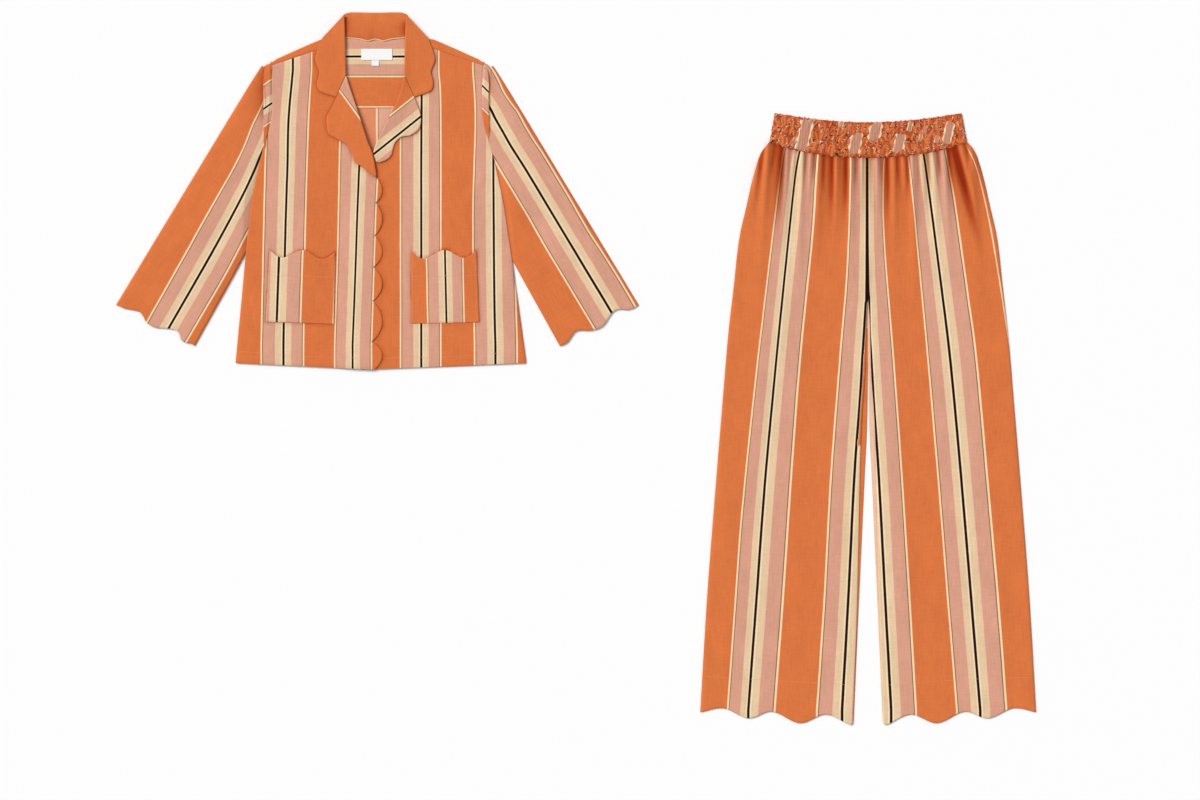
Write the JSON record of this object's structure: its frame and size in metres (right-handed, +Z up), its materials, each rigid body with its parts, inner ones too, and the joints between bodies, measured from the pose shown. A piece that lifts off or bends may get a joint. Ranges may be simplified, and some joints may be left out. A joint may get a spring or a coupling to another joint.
{
  "type": "pyjama set",
  "caption": "Striped cotton pyjama set laid flat: a scallop-edged jacket with a notched collar and patch pockets, and wide trousers with a shirred waist.",
  "frame": {"origin": "on the surface that the set lies on, below the middle of the two garments' common outline", "axes": "+X towards the trousers, +Y towards the necks and waist, +Z up from the surface"},
  "size_m": [1.5176, 1.1739, 0.0074],
  "materials": {
    "striped_cotton": "slubbed plain weave in orange with dusty pink, cream and black-brown stripes, matt",
    "plain_cotton": "the orange band of the same slubbed cotton, matt",
    "shirred_cotton": "the same cotton drawn up small by rows of elastic, matt",
    "label_satin": "white woven label, bare"
  },
  "bodies": {
    "root": {"jacket_back": "striped_cotton", "jacket_yoke": "striped_cotton", "jacket_yoke_lining": "striped_cotton", "jacket_front_left": "striped_cotton", "jacket_front_right": "striped_cotton", "jacket_sleeve_left": "striped_cotton", "jacket_sleeve_right": "striped_cotton", "jacket_pocket_left": "striped_cotton", "jacket_pocket_right": "striped_cotton", "jacket_lapel_left": "plain_cotton", "jacket_lapel_right": "plain_cotton", "jacket_collar": "plain_cotton", "jacket_neck_label": "label_satin", "jacket_size_tab": "label_satin", "trousers_back_left": "striped_cotton", "trousers_back_right": "striped_cotton", "trousers_front_left": "striped_cotton", "trousers_front_right": "striped_cotton", "trousers_waistband": "shirred_cotton"}
  },
  "joints": []
}
